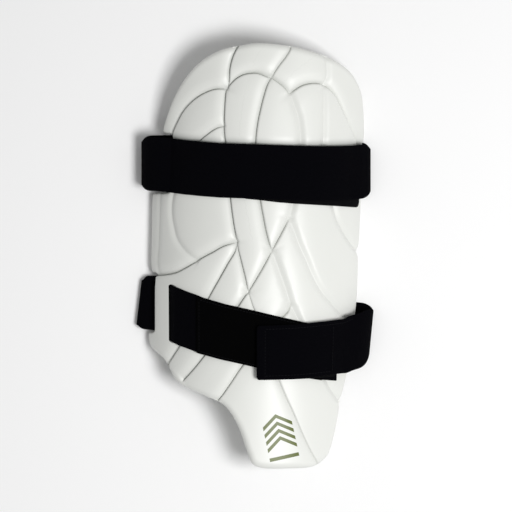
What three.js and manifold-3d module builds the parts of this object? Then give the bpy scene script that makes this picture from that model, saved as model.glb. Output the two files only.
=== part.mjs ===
// A cricket thigh guard lying on its back: a moulded foam pad arched like the front of a thigh,
// with two elastic straps closed round it.
//
// Millimetres, +Z up. The pad's front faces up, its rounded top end points along +Y and its tongue
// along -Y. The origin is on the table, under the middle of the whole object.
// Shares: u runs across the pad from its left edge (0) to its right edge (1), and v along it from
// the end of the tongue (0) to the top (1).

import * as THREE from "three";
import Module from "manifold-3d";
import { mergeVertices } from "three/addons/utils/BufferGeometryUtils.js";

const wasm = await Module();
wasm.setup();

// Driving dimensions
const PAD_LENGTH = 400;
const PAD_WIDTH = 207;
const ARCH_HEIGHT = 58; // from the feet of the front face to its crown
const FOAM_THICKNESS = 20;
const EDGE_THICKNESS = 12; // the foam thins to this, with a full round at the edge
const EDGE_BLEND = 30; // the distance in from the edge over which it thins
const GROOVE_WIDTH = 11;
const GROOVE_DEPTH = 4.5;
const STRAP_WIDTH = 51;
const STRAP_THICKNESS = 1.8;
const TAPE_THICKNESS = 1.1;
const BAR_WIDTH = 13.6; // the bar of the pad that the lower strap passes behind
const BAR_THICKNESS = 4.2;
const LOWER_NOTCH_DEPTH = 5.5; // from the pad's left edge to the bar
const UPPER_NOTCH_DEPTH = 17;
const NOTCH_CORNER = 3;
const GAP = 0.45; // between pieces that lie against each other
const SIDE_GAP = 1.2; // round a strap where it runs through the foam or out of a notch

// Form of the arch
const ARCH_REACH = 0.96; // share of a full half ellipse that the arch spans
const CROWN_BOW = 0.12; // share of the arch's height that the crown loses at both ends
const LEFT_FOOT = { u: 0, v: 0.3, lean: 0.048 }; // a line through u, v that leans to the right
const RIGHT_FOOT = { u: 1, v: 0.8, lean: 0.0875 };

// The pad's outline from the front, counter-clockwise. Rows with no u stand on the arch's foot.
const OUTLINE = [
  { u: 0.482, v: 0.011, corner: "bottomLeft" },
  { u: 0.525, v: 0.002 },
  { u: 0.654, v: 0.0 },
  { u: 0.774, v: 0.005 },
  { u: 0.829, v: 0.026, corner: "bottomRight" },
  { u: 0.857, v: 0.064 },
  { u: 0.878, v: 0.114 },
  { u: 0.894, v: 0.158 },
  { u: 0.921, v: 0.221 },
  { u: 0.942, v: 0.291 },
  { foot: RIGHT_FOOT, v: 0.385 },
  { foot: RIGHT_FOOT, v: 0.5 },
  { foot: RIGHT_FOOT, v: 0.6 },
  { foot: RIGHT_FOOT, v: 0.7 },
  { foot: RIGHT_FOOT, v: 0.8 },
  { u: 0.994, v: 0.867 },
  { u: 0.983, v: 0.895 },
  { u: 0.9425, v: 0.932, corner: "topRight" },
  { u: 0.873, v: 0.9585 },
  { u: 0.77, v: 0.979 },
  { u: 0.654, v: 0.993 },
  { u: 0.507, v: 1.0 },
  { u: 0.406, v: 0.993 },
  { u: 0.324, v: 0.983 },
  { u: 0.221, v: 0.951, corner: "topLeft" },
  { u: 0.135, v: 0.895 },
  { u: 0.077, v: 0.825 },
  { u: 0.038, v: 0.737 },
  { foot: LEFT_FOOT, v: 0.65 },
  { foot: LEFT_FOOT, v: 0.55 },
  { foot: LEFT_FOOT, v: 0.45 },
  { foot: LEFT_FOOT, v: 0.35 },
  { foot: LEFT_FOOT, v: 0.3 },
  { u: 0.01, v: 0.281 },
  { u: 0.064, v: 0.2566 },
  { u: 0.09, v: 0.235 },
  { u: 0.133, v: 0.202 },
  { u: 0.256, v: 0.172 },
  { u: 0.349, v: 0.149 },
  { u: 0.416, v: 0.098 },
  { u: 0.456, v: 0.042 },
];

// Where grooves meet
const KNOT = {
  browLeft: { u: 0.362, v: 0.892 },
  browMiddle: { u: 0.568, v: 0.9185 },
  browDip: { u: 0.655, v: 0.881 },
  browRight: { u: 0.813, v: 0.9025 },
  temple: { u: 0.348, v: 0.8045 },
  star: { u: 0.4085, v: 0.533 },
  fork: { u: 0.2265, v: 0.4895 },
  lowerCross: { u: 0.462, v: 0.4155 },
  middleCross: { u: 0.572, v: 0.512 },
  upperCross: { u: 0.652, v: 0.586 },
  rightCross: { u: 0.661, v: 0.385 },
};

// The moulded grooves between the pad's panels. deep is a share of GROOVE_DEPTH and GROOVE_WIDTH.
const GROOVES = [
  { deep: 1, line: [{ u: 0.417, v: 1.0 }, { u: 0.378, v: 0.945 }, KNOT.browLeft] },
  { deep: 1, line: [KNOT.browLeft, { u: 0.475, v: 0.9286 }, KNOT.browMiddle] },
  { deep: 0.8, line: [KNOT.browMiddle, { u: 0.614, v: 0.902 }, KNOT.browDip] },
  { deep: 0.8, line: [KNOT.browMiddle, { u: 0.606, v: 0.947 }, { u: 0.662, v: 0.998 }] },
  { deep: 0.9, line: [KNOT.browDip, { u: 0.742, v: 0.904 }, KNOT.browRight] },
  { deep: 0.6, line: [KNOT.browRight, { u: 0.8275, v: 0.935 }, { u: 0.825, v: 0.977 }] },
  {
    deep: 1,
    line: [KNOT.browRight, { u: 0.864, v: 0.8795 }, { u: 0.95, v: 0.79 }, { u: 0.978, v: 0.745 }],
  },
  {
    deep: 0.8,
    line: [
      KNOT.browLeft,
      { u: 0.221, v: 0.8725 },
      { u: 0.127, v: 0.8125 },
      { u: 0.093, v: 0.7255 },
      { u: 0.104, v: 0.6035 },
      { u: 0.147, v: 0.5225 },
      KNOT.fork,
    ],
  },
  { deep: 0.8, line: [KNOT.temple, { u: 0.24, v: 0.774 }, { u: 0.0965, v: 0.69 }] },
  {
    deep: 0.9,
    line: [KNOT.browLeft, KNOT.temple, { u: 0.353, v: 0.768 }, { u: 0.3795, v: 0.6275 }, KNOT.star],
  },
  {
    deep: 1,
    line: [
      KNOT.browMiddle,
      { u: 0.5075, v: 0.817 },
      { u: 0.4955, v: 0.749 },
      { u: 0.52, v: 0.622 },
      KNOT.middleCross,
    ],
  },
  {
    deep: 0.9,
    line: [
      KNOT.browDip,
      { u: 0.692, v: 0.8295 },
      { u: 0.7075, v: 0.7595 },
      { u: 0.668, v: 0.6175 },
      KNOT.upperCross,
    ],
  },
  {
    deep: 0.7,
    line: [
      KNOT.browRight,
      { u: 0.8135, v: 0.842 },
      { u: 0.814, v: 0.758 },
      { u: 0.8605, v: 0.6125 },
      { u: 0.995, v: 0.48 },
    ],
  },
  {
    deep: 1,
    line: [{ u: -0.01, v: 0.455 }, { u: 0.109, v: 0.46 }, KNOT.fork, { u: 0.2995, v: 0.511 }, KNOT.star],
  },
  { deep: 1, line: [KNOT.star, { u: 0.2765, v: 0.402 }, { u: 0.148, v: 0.2935 }, { u: 0.075, v: 0.236 }] },
  {
    deep: 1,
    line: [KNOT.lowerCross, { u: 0.4175, v: 0.3843 }, { u: 0.2595, v: 0.2685 }, { u: 0.148, v: 0.196 }],
  },
  {
    deep: 0.9,
    line: [KNOT.rightCross, { u: 0.6305, v: 0.361 }, { u: 0.4345, v: 0.2433 }, { u: 0.3, v: 0.155 }],
  },
  {
    deep: 0.9,
    line: [
      KNOT.star,
      { u: 0.429, v: 0.4875 },
      KNOT.lowerCross,
      { u: 0.4905, v: 0.3725 },
      { u: 0.601, v: 0.212 },
      { u: 0.669, v: 0.133 },
      { u: 0.798, v: 0.005 },
    ],
  },
  { deep: 0.9, line: [KNOT.lowerCross, { u: 0.509, v: 0.4545 }, KNOT.middleCross] },
  { deep: 0.9, line: [KNOT.middleCross, KNOT.upperCross] },
  {
    deep: 0.9,
    line: [
      KNOT.middleCross,
      { u: 0.612, v: 0.459 },
      KNOT.rightCross,
      { u: 0.82, v: 0.2165 },
      { u: 0.9, v: 0.15 },
    ],
  },
  {
    deep: 0.8,
    line: [
      KNOT.upperCross,
      { u: 0.701, v: 0.5238 },
      { u: 0.762, v: 0.4543 },
      { u: 0.8465, v: 0.392 },
      { u: 0.965, v: 0.33 },
    ],
  },
];

// Centre lines of the straps and tapes. A row over the pad counts the straps and tapes beneath it.
// A row clear of the pad has its height as a share of the arch's, and 0 is flat on the table. A
// row behind the bar has its place as a share of the bar's width, and sunk is 1 at full depth.
const UPPER_STRAP = [
  { u: 0.12, v: 0.7125, straps: 0, tapes: 0 },
  { u: 0.18, v: 0.708, straps: 0, tapes: 0 },
  { u: 0.26, v: 0.7035, straps: 0, tapes: 0 },
  { u: 0.34, v: 0.7, straps: 0, tapes: 0 },
  { u: 0.43, v: 0.698, straps: 0, tapes: 1 },
  { u: 0.52, v: 0.6965, straps: 0, tapes: 1 },
  { u: 0.61, v: 0.695, straps: 0, tapes: 1 },
  { u: 0.7, v: 0.6938, straps: 0, tapes: 1 },
  { u: 0.78, v: 0.6935, straps: 0, tapes: 1 },
  { u: 0.86, v: 0.6945, straps: 0, tapes: 1 },
  { u: 0.925, v: 0.6965, straps: 0, tapes: 1 },
  { u: 0.985, v: 0.6995, high: 0.35 },
  { u: 1.0135, v: 0.702, high: 0.22 },
  { u: 1.0155, v: 0.7035, high: 0.1 },
  { u: 0.985, v: 0.7055, high: 0.02 },
  { u: 0.94, v: 0.7065, high: 0 },
  { u: 0.5, v: 0.7175, high: 0 },
  { u: 0.16, v: 0.7235, high: 0 },
  { u: 0.08, v: 0.723, high: 0.01 },
  { u: 0.02, v: 0.722, high: 0.075 },
  { u: -0.012, v: 0.7205, high: 0.16 },
  { u: -0.023, v: 0.719, high: 0.26, exit: true },
  { u: -0.003, v: 0.7175, high: 0.4 },
  { u: 0.055, v: 0.716, high: 0.55 },
];
const UPPER_HOOK_TAPE = [
  { u: 0.45, v: 0.6925, straps: 0, tapes: 0 },
  { u: 0.56, v: 0.6885, straps: 0, tapes: 0 },
  { u: 0.67, v: 0.6845, straps: 0, tapes: 0 },
  { u: 0.78, v: 0.682, straps: 0, tapes: 0 },
  { u: 0.87, v: 0.6805, straps: 0, tapes: 0 },
  { u: 0.93, v: 0.6795, straps: 0, tapes: 0 },
  { u: 0.965, v: 0.679, straps: 0, tapes: 0 },
];
const LOWER_STRAP = [
  { u: 0.86, v: 0.27, straps: 0, tapes: 0 },
  { u: 0.79, v: 0.2735, straps: 0, tapes: 0 },
  { u: 0.7, v: 0.281, straps: 0, tapes: 0 },
  { u: 0.585, v: 0.2945, straps: 0, tapes: 0 },
  { u: 0.47, v: 0.309, straps: 0, tapes: 0 },
  { u: 0.355, v: 0.3225, straps: 0, tapes: 0 },
  { u: 0.26, v: 0.336, straps: 0, tapes: 0 },
  { u: 0.17, v: 0.353, straps: 0, tapes: 0 },
  { u: 0.132, v: 0.361, straps: 0, tapes: 0 },
  { bar: 1.12, v: 0.366, sunk: 0.3 },
  { bar: 0.85, v: 0.3685, sunk: 0.85 },
  { bar: 0.55, v: 0.3755, sunk: 1 },
  { bar: 0.22, v: 0.384, sunk: 1 },
  { u: 0.022, v: 0.3885, high: 0.175 },
  { u: -0.012, v: 0.3895, high: 0.15, exit: true },
  { u: -0.034, v: 0.3895, high: 0.105 },
  { u: -0.033, v: 0.3895, high: 0.055 },
  { u: -0.012, v: 0.3895, high: 0.018 },
  { u: 0.02, v: 0.3895, high: 0 },
  { u: 0.06, v: 0.388, high: 0 },
  { u: 0.5, v: 0.357, high: 0 },
  { u: 0.94, v: 0.327, high: 0 },
  { u: 0.99, v: 0.3245, high: 0.015 },
  { u: 1.023, v: 0.3225, high: 0.07 },
  { u: 1.031, v: 0.3195, high: 0.18 },
  { u: 1.016, v: 0.3135, high: 0.3 },
  { u: 0.983, v: 0.306, high: 0.42 },
  { u: 0.935, v: 0.2975, high: 0.525 },
  { u: 0.87, v: 0.2885, straps: 1, tapes: 2 },
  { u: 0.81, v: 0.2845, straps: 1, tapes: 2 },
  { u: 0.74, v: 0.2805, straps: 1, tapes: 2 },
  { u: 0.66, v: 0.277, straps: 1, tapes: 2 },
  { u: 0.57, v: 0.275, straps: 1, tapes: 2 },
  { u: 0.4985, v: 0.2742, straps: 1, tapes: 2 },
];
const LOWER_LOOP_TAPE = [
  { u: 0.235, v: 0.339, straps: 1, tapes: 0 },
  { u: 0.26, v: 0.335, straps: 1, tapes: 0 },
  { u: 0.355, v: 0.3215, straps: 1, tapes: 0 },
  { u: 0.47, v: 0.308, straps: 1, tapes: 0 },
  { u: 0.585, v: 0.2935, straps: 1, tapes: 0 },
  { u: 0.7, v: 0.28, straps: 1, tapes: 0 },
  { u: 0.79, v: 0.2725, straps: 1, tapes: 0 },
];
const LOWER_HOOK_TAPE = [
  { u: 0.53, v: 0.2735, straps: 1, tapes: 1 },
  { u: 0.66, v: 0.275, straps: 1, tapes: 1 },
  { u: 0.75, v: 0.277, straps: 1, tapes: 1 },
  { u: 0.81, v: 0.279, straps: 1, tapes: 1 },
  { u: 0.85, v: 0.281, straps: 1, tapes: 1 },
];

// Mesh density
const ACROSS_STEPS = 16;
const ALONG_STEPS = 26;
const ACROSS_RINGS = [0.004, 0.012, 0.03]; // shares of the grid kept for the rounded edge
const ALONG_RINGS = [0.004, 0.013, 0.035];
const GROOVE_STEP = 20;
const CURVE_SAMPLES = 60;
const STRAP_SAMPLES = 4; // between two rows of a strap's table
const TWIST_PASSES = 4; // of smoothing where a strap turns between two directions

// Materials
const FOAM = new THREE.MeshStandardMaterial({ color: 0xe9e9e4, roughness: 0.42, metalness: 0 });
const ELASTIC = new THREE.MeshStandardMaterial({ color: 0x0a0a0f, roughness: 0.9, metalness: 0 });
const TAPE = new THREE.MeshStandardMaterial({ color: 0x141417, roughness: 0.97, metalness: 0 });

// The front face, an arch between two feet

const edgeRadius = EDGE_THICKNESS / 2;
const archDrop = Math.sqrt(1 - ARCH_REACH ** 2);
const footSlope = Math.atan((2 * ARCH_HEIGHT * ARCH_REACH ** 2) / ((1 - archDrop) * archDrop * PAD_WIDTH));
// The feet stand so high that the rounded edge just clears the straps on the table.
const footHeight =
  STRAP_THICKNESS + 2 * GAP + edgeRadius * (1 + Math.cos(footSlope) - Math.sin(footSlope));

function footAt(foot, v) {
  return (foot.u + foot.lean * (v - foot.v)) * PAD_WIDTH;
}

function frontHeight(x, y) {
  const v = y / PAD_LENGTH;
  const left = footAt(LEFT_FOOT, v);
  const right = footAt(RIGHT_FOOT, v);
  const across = ((2 * x - left - right) / (right - left)) * ARCH_REACH;
  const rise = (Math.sqrt(Math.max(1 - across ** 2, 0.001)) - archDrop) / (1 - archDrop);
  return footHeight + ARCH_HEIGHT * (1 - CROWN_BOW * (2 * v - 1) ** 2) * rise;
}

function frontNormal(x, y) {
  const step = 0.5;
  const slopeX = (frontHeight(x + step, y) - frontHeight(x - step, y)) / (2 * step);
  const slopeY = (frontHeight(x, y + step) - frontHeight(x, y - step)) / (2 * step);
  return new THREE.Vector3(-slopeX, -slopeY, 1).normalize();
}

// A point that stands off the front face by a lift, or lies under it where the lift is negative.
function onFront(x, y, lift = 0) {
  return new THREE.Vector3(x, y, frontHeight(x, y)).addScaledVector(frontNormal(x, y), lift);
}

// Geometry from faces, and solids from geometry

function facesGeometry(faces) {
  const positions = new Float32Array(faces.flat().flatMap((point) => point.toArray()));
  const loose = new THREE.BufferGeometry();
  loose.setAttribute("position", new THREE.BufferAttribute(positions, 3));
  return mergeVertices(loose, 1e-4);
}

// A skin over sections of the same number of points, joined end to end or capped. The points of a
// section run clockwise, as seen from the section before it.
function loft(sections, closed = false) {
  const faces = [];
  const count = sections[0].length;
  const joins = closed ? sections.length : sections.length - 1;
  for (let i = 0; i < joins; i++) {
    const near = sections[i];
    const far = sections[(i + 1) % sections.length];
    for (let j = 0; j < count; j++) {
      const next = (j + 1) % count;
      faces.push([near[j], far[next], near[next]]);
      faces.push([near[j], far[j], far[next]]);
    }
  }
  if (!closed) {
    const first = sections[0];
    const last = sections[sections.length - 1];
    for (let j = 1; j + 1 < count; j++) {
      faces.push([first[0], first[j], first[j + 1]]);
      faces.push([last[0], last[j + 1], last[j]]);
    }
  }
  return facesGeometry(faces);
}

function toSolid(geometry) {
  return new wasm.Manifold(
    new wasm.Mesh({
      numProp: 3,
      vertProperties: geometry.attributes.position.array,
      triVerts: new Uint32Array(geometry.index.array),
    }),
  );
}

function toGeometry(solid) {
  const mesh = solid.getMesh();
  const geometry = new THREE.BufferGeometry();
  geometry.setAttribute("position", new THREE.BufferAttribute(mesh.vertProperties, 3));
  geometry.setIndex(new THREE.BufferAttribute(mesh.triVerts, 1));
  return geometry;
}

// The pad's blank: a front and a back face over one grid, which meet at the rim

function outlinePoint({ u, v, foot }) {
  return new THREE.Vector3(foot ? footAt(foot, v) : u * PAD_WIDTH, v * PAD_LENGTH, 0);
}

const outline = new THREE.CatmullRomCurve3(OUTLINE.map(outlinePoint), true, "centripetal");

// The stretch of the outline between two corners, as a function of the share of its length.
function side(fromCorner, toCorner) {
  const start = OUTLINE.findIndex((row) => row.corner === fromCorner);
  const end = OUTLINE.findIndex((row) => row.corner === toCorner);
  const rows = end > start ? end - start : end - start + OUTLINE.length;
  const points = [];
  for (let i = 0; i <= CURVE_SAMPLES; i++) {
    const row = start + (rows * i) / CURVE_SAMPLES;
    points.push(outline.getPoint((row / OUTLINE.length) % 1));
  }
  const path = new THREE.CurvePath();
  for (let i = 0; i < CURVE_SAMPLES; i++) path.add(new THREE.LineCurve3(points[i], points[i + 1]));
  return (share) => path.getPoint(share);
}

const bottomSide = side("bottomLeft", "bottomRight");
const rightSide = side("bottomRight", "topRight");
const topSide = side("topRight", "topLeft");
const leftSide = side("topLeft", "bottomLeft");

// A Coons patch over the four sides. across and along run from 0 to 1.
function inPlan(across, along) {
  const corners = [
    [bottomSide(0), (1 - across) * (1 - along)],
    [bottomSide(1), across * (1 - along)],
    [topSide(1), (1 - across) * along],
    [topSide(0), across * along],
  ];
  const point = new THREE.Vector3()
    .addScaledVector(bottomSide(across), 1 - along)
    .addScaledVector(topSide(1 - across), along)
    .addScaledVector(leftSide(1 - along), 1 - across)
    .addScaledVector(rightSide(along), across);
  for (const [corner, weight] of corners) point.addScaledVector(corner, -weight);
  return point;
}

// The rim of the front face, as short lines in space.
const rim = [bottomSide, rightSide, topSide, leftSide].flatMap((stretch) =>
  Array.from({ length: CURVE_SAMPLES }, (_, i) => {
    const from = stretch(i / CURVE_SAMPLES);
    const to = stretch((i + 1) / CURVE_SAMPLES);
    return new THREE.Line3(onFront(from.x, from.y), onFront(to.x, to.y));
  }),
);

function distanceToRim(point) {
  const nearest = new THREE.Vector3();
  const distances = rim.map((line) => line.closestPointToPoint(point, true, nearest).distanceTo(point));
  return Math.min(...distances);
}

// How far the rounded edge lies under the front face, and over the back face.
function edgeDrop(distance) {
  if (distance >= edgeRadius) return 0;
  return edgeRadius - Math.sqrt(edgeRadius ** 2 - (edgeRadius - distance) ** 2);
}

function foamThickness(distance) {
  const share = THREE.MathUtils.smoothstep(distance, 0, EDGE_BLEND);
  return EDGE_THICKNESS + (FOAM_THICKNESS - EDGE_THICKNESS) * share;
}

// Shares from 0 to 1: the rings of the edge, and even steps of the arch's angle or of the length.
function gridStops(rings, steps, bend) {
  const last = rings[rings.length - 1];
  const middle = [];
  for (let i = 1; i < steps; i++) {
    const even = (2 * i) / steps - 1;
    const share = bend ? Math.sin(even * bend) / Math.sin(bend) : even;
    middle.push(0.5 + (0.5 - last) * share);
  }
  return [0, ...rings, ...middle, ...rings.map((ring) => 1 - ring).reverse(), 1];
}

function padBlank() {
  const acrossStops = gridStops(ACROSS_RINGS, ACROSS_STEPS, Math.asin(ARCH_REACH));
  const alongStops = gridStops(ALONG_RINGS, ALONG_STEPS);
  const columns = acrossStops.length;
  const front = [];
  const back = [];
  for (const along of alongStops) {
    for (const across of acrossStops) {
      const plan = inPlan(across, along);
      const onRim = [across, along].some((share) => share === 0 || share === 1);
      const distance = onRim ? 0 : distanceToRim(onFront(plan.x, plan.y));
      const drop = edgeDrop(distance);
      front.push(onFront(plan.x, plan.y, -drop));
      back.push(onRim ? front[front.length - 1] : onFront(plan.x, plan.y, drop - foamThickness(distance)));
    }
  }
  const faces = [];
  for (let row = 0; row + 1 < alongStops.length; row++) {
    for (let column = 0; column + 1 < columns; column++) {
      const near = row * columns + column;
      const quad = [near, near + 1, near + columns + 1, near + columns];
      for (const [i, j, k] of [[0, 1, 2], [0, 2, 3]]) {
        faces.push([front[quad[i]], front[quad[j]], front[quad[k]]]);
        faces.push([back[quad[k]], back[quad[j]], back[quad[i]]]);
      }
    }
  }
  return toSolid(facesGeometry(faces));
}

// Cuts in the pad

// A bar of V section along a groove's line, with its point under the front face.
function grooveCutter({ line, deep }) {
  const plan = line.map(({ u, v }) => new THREE.Vector2(u * PAD_WIDTH, v * PAD_LENGTH));
  const curve = new THREE.SplineCurve(plan);
  const steps = Math.max(2, Math.ceil(curve.getLength() / GROOVE_STEP));
  const above = 1;
  const half = (GROOVE_WIDTH / 2) * (deep + above / GROOVE_DEPTH);
  const sections = [];
  for (let i = 0; i <= steps; i++) {
    const point = curve.getPointAt(i / steps);
    const run = curve.getTangentAt(i / steps);
    const sideways = new THREE.Vector3(run.x, run.y, 0);
    sideways.cross(frontNormal(point.x, point.y)).normalize();
    const top = onFront(point.x, point.y, above);
    sections.push([
      top.clone().addScaledVector(sideways, half),
      top.clone().addScaledVector(sideways, -half),
      onFront(point.x, point.y, -GROOVE_DEPTH * deep),
    ]);
  }
  return toSolid(loft(sections));
}

// A notch in the left edge as wide as a strap, where the strap leaves the pad.
function notchCutter(rows, depth) {
  const v = rows.find((row) => row.exit).v;
  const wall = footAt(LEFT_FOOT, v) + depth;
  const half = STRAP_WIDTH / 2 + 2 * SIDE_GAP;
  const outside = wall - PAD_WIDTH / 4;
  const shape = new THREE.Shape();
  shape.moveTo(outside, -half);
  shape.lineTo(wall - NOTCH_CORNER, -half);
  shape.quadraticCurveTo(wall, -half, wall, -half + NOTCH_CORNER);
  shape.lineTo(wall, half - NOTCH_CORNER);
  shape.quadraticCurveTo(wall, half, wall - NOTCH_CORNER, half);
  shape.lineTo(outside, half);
  const height = footHeight + ARCH_HEIGHT;
  const notch = new THREE.ExtrudeGeometry(shape, { depth: height, bevelEnabled: false, curveSegments: 3 });
  notch.translate(0, v * PAD_LENGTH, 0);
  notch.deleteAttribute("normal");
  notch.deleteAttribute("uv");
  return toSolid(mergeVertices(notch, 1e-4));
}

// Straps and tapes

// A point of a centre line. On the pad it also has its place in plan with its lift off the face.
function strapPoint(row, thickness) {
  const y = row.v * PAD_LENGTH;
  if (row.high !== undefined) {
    const height = Math.max(thickness / 2, row.high * ARCH_HEIGHT);
    return { point: new THREE.Vector3(row.u * PAD_WIDTH, y, height) };
  }
  if (row.bar !== undefined) {
    const x = footAt(LEFT_FOOT, row.v) + LOWER_NOTCH_DEPTH + row.bar * BAR_WIDTH;
    const depth = row.sunk * (BAR_THICKNESS + SIDE_GAP + thickness / 2);
    return { point: onFront(x, y, -depth) };
  }
  const beneath = row.straps * (STRAP_THICKNESS + GAP) + row.tapes * (TAPE_THICKNESS + GAP);
  const seat = new THREE.Vector3(row.u * PAD_WIDTH, y, GAP + beneath + thickness / 2);
  return { point: onFront(seat.x, seat.y, seat.z), seat };
}

// The centre line's stations. A band's sections stay in line with the pad's length, also where its
// run slants, so that a bend doesn't twist it. skew is how much longer that makes a section.
function strapStations(rows, thickness, closed = false) {
  const places = rows.map((row) => strapPoint(row, thickness));
  const spans = closed ? rows.length : rows.length - 1;
  const inSpace = new THREE.CatmullRomCurve3(places.map(({ point }) => point), closed, "centripetal");
  const seats = places.map(({ seat }) => seat ?? new THREE.Vector3());
  const count = STRAP_SAMPLES * spans + (closed ? 0 : 1);
  const stations = [];
  for (let i = 0; i < count; i++) {
    const row = Math.floor(i / STRAP_SAMPLES);
    const share = (i % STRAP_SAMPLES) / STRAP_SAMPLES;
    const next = (row + 1) % rows.length;
    const station = { row, point: inSpace.getPoint(i / (STRAP_SAMPLES * spans)) };
    if (places[row].seat && (places[next].seat || share === 0)) {
      const seat = seats[row].clone().lerp(seats[next], share);
      station.point = onFront(seat.x, seat.y, seat.z);
      station.facing = frontNormal(seat.x, seat.y);
    }
    station.point.z = Math.max(station.point.z, thickness / 2);
    stations.push(station);
  }
  const neighbour = (i) => stations[closed ? (i + count) % count : THREE.MathUtils.clamp(i, 0, count - 1)];
  stations.forEach((station, i) => {
    station.run = neighbour(i + 1).point.clone().sub(neighbour(i - 1).point).normalize();
    station.width = new THREE.Vector3(0, 1, 0);
    if (station.facing) station.width.projectOnPlane(station.facing).normalize();
  });
  // Off the pad the band turns evenly from one direction to the other.
  for (let pass = 0; pass < TWIST_PASSES; pass++) {
    stations.forEach((station, i) => {
      if (station.facing) return;
      station.width.add(neighbour(i - 1).width).add(neighbour(i + 1).width).normalize();
    });
  }
  for (const station of stations) {
    station.normal = station.width.clone().cross(station.run);
    station.skew = 1 / station.normal.length();
    station.normal.normalize();
  }
  return stations;
}

// A band of rectangular section along its stations.
function band(stations, width, thickness, closed = false) {
  const corners = [[-1, -1], [1, -1], [1, 1], [-1, 1]];
  const sections = stations.map((station) =>
    corners.map(([edge, face]) =>
      station.point
        .clone()
        .addScaledVector(station.width, (edge * width * station.skew) / 2)
        .addScaledVector(station.normal, (face * thickness) / 2),
    ),
  );
  return loft(sections, closed);
}

const lowerStations = strapStations(LOWER_STRAP, STRAP_THICKNESS);

// The way of the lower strap through the foam, behind the bar.
function channelCutter() {
  const first = LOWER_STRAP.findIndex((row) => row.bar !== undefined) - 1;
  const last = LOWER_STRAP.findIndex((row) => row.exit);
  const inside = lowerStations.filter(({ row }) => row >= first && row <= last);
  return toSolid(band(inside, STRAP_WIDTH + 2 * SIDE_GAP, STRAP_THICKNESS + 2 * SIDE_GAP));
}

function padGeometry() {
  const cutters = [
    ...GROOVES.map(grooveCutter),
    notchCutter(UPPER_STRAP, UPPER_NOTCH_DEPTH),
    notchCutter(LOWER_STRAP, LOWER_NOTCH_DEPTH),
    channelCutter(),
  ];
  return toGeometry(cutters.reduce((solid, cutter) => solid.subtract(cutter), padBlank()));
}

function tapeGeometry(rows) {
  return band(strapStations(rows, TAPE_THICKNESS), STRAP_WIDTH, TAPE_THICKNESS);
}

function piece(name, geometry, material) {
  geometry.computeVertexNormals();
  const mesh = new THREE.Mesh(geometry, material);
  mesh.name = name;
  return mesh;
}

const upperStations = strapStations(UPPER_STRAP, STRAP_THICKNESS, true);
const group = new THREE.Group();
group.add(
  piece("pad", padGeometry(), FOAM),
  piece("upper_strap", band(upperStations, STRAP_WIDTH, STRAP_THICKNESS, true), ELASTIC),
  piece("upper_hook_tape", tapeGeometry(UPPER_HOOK_TAPE), TAPE),
  piece("lower_strap", band(lowerStations, STRAP_WIDTH, STRAP_THICKNESS), ELASTIC),
  piece("lower_loop_tape", tapeGeometry(LOWER_LOOP_TAPE), TAPE),
  piece("lower_hook_tape", tapeGeometry(LOWER_HOOK_TAPE), TAPE),
);

// The origin, under the middle of the whole object
const box = new THREE.Box3().setFromObject(group);
const middle = box.getCenter(new THREE.Vector3());
group.position.set(-middle.x, -middle.y, -box.min.z);

export default group;
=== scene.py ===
"""Looks of a cricket thigh guard: a moulded foam pad with two elastic straps closed round it.

Lengths are in millimetres and become metres where a mesh is made. The pad is worked out in its own
plan, x from its left edge and y from the end of its tongue, and then moved onto the frame's pad.
"""

import math

import bpy
import numpy as np
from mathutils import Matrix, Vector
from mathutils.geometry import delaunay_2d_cdt
from mathutils.kdtree import KDTree


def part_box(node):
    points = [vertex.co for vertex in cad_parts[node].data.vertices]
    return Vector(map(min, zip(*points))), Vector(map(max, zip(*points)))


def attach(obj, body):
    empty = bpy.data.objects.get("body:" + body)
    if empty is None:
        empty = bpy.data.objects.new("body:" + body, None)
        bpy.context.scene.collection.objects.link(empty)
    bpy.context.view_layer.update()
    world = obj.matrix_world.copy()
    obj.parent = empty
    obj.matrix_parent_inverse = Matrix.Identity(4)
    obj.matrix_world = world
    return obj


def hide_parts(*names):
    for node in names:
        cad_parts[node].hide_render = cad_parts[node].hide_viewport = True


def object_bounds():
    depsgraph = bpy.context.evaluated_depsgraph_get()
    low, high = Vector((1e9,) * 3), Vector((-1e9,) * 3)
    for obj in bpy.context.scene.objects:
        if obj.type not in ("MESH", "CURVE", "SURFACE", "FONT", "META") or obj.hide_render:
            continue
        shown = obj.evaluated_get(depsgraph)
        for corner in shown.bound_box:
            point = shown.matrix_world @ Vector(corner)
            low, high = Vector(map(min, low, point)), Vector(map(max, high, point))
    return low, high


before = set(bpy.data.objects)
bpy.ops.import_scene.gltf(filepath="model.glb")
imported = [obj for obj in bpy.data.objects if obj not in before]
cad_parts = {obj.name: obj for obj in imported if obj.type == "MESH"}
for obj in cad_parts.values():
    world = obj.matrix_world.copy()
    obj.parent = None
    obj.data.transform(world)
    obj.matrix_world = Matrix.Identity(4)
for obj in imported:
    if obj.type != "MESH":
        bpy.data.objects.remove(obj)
cad_low, cad_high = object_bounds()

MM = 0.001

# Sizes shared with the solids
PAD_LENGTH = 400
PAD_WIDTH = 207
ARCH_HEIGHT = 58
FOAM_THICKNESS = 20
EDGE_THICKNESS = 12
EDGE_BLEND = 30
STRAP_WIDTH = 51
HALF_STRAP = STRAP_WIDTH / 2
STRAP_THICKNESS = 1.8
TAPE_THICKNESS = 1.1
BAR_WIDTH = 13.6
BAR_THICKNESS = 4.2
LOWER_NOTCH_DEPTH = 5.5
UPPER_NOTCH_DEPTH = 17
GAP = 0.45
SIDE_GAP = 1.2
ARCH_REACH = 0.96
CROWN_BOW = 0.12
LEFT_FOOT = {"u": 0, "v": 0.3, "lean": 0.048}
RIGHT_FOOT = {"u": 1, "v": 0.8, "lean": 0.0875}

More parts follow.
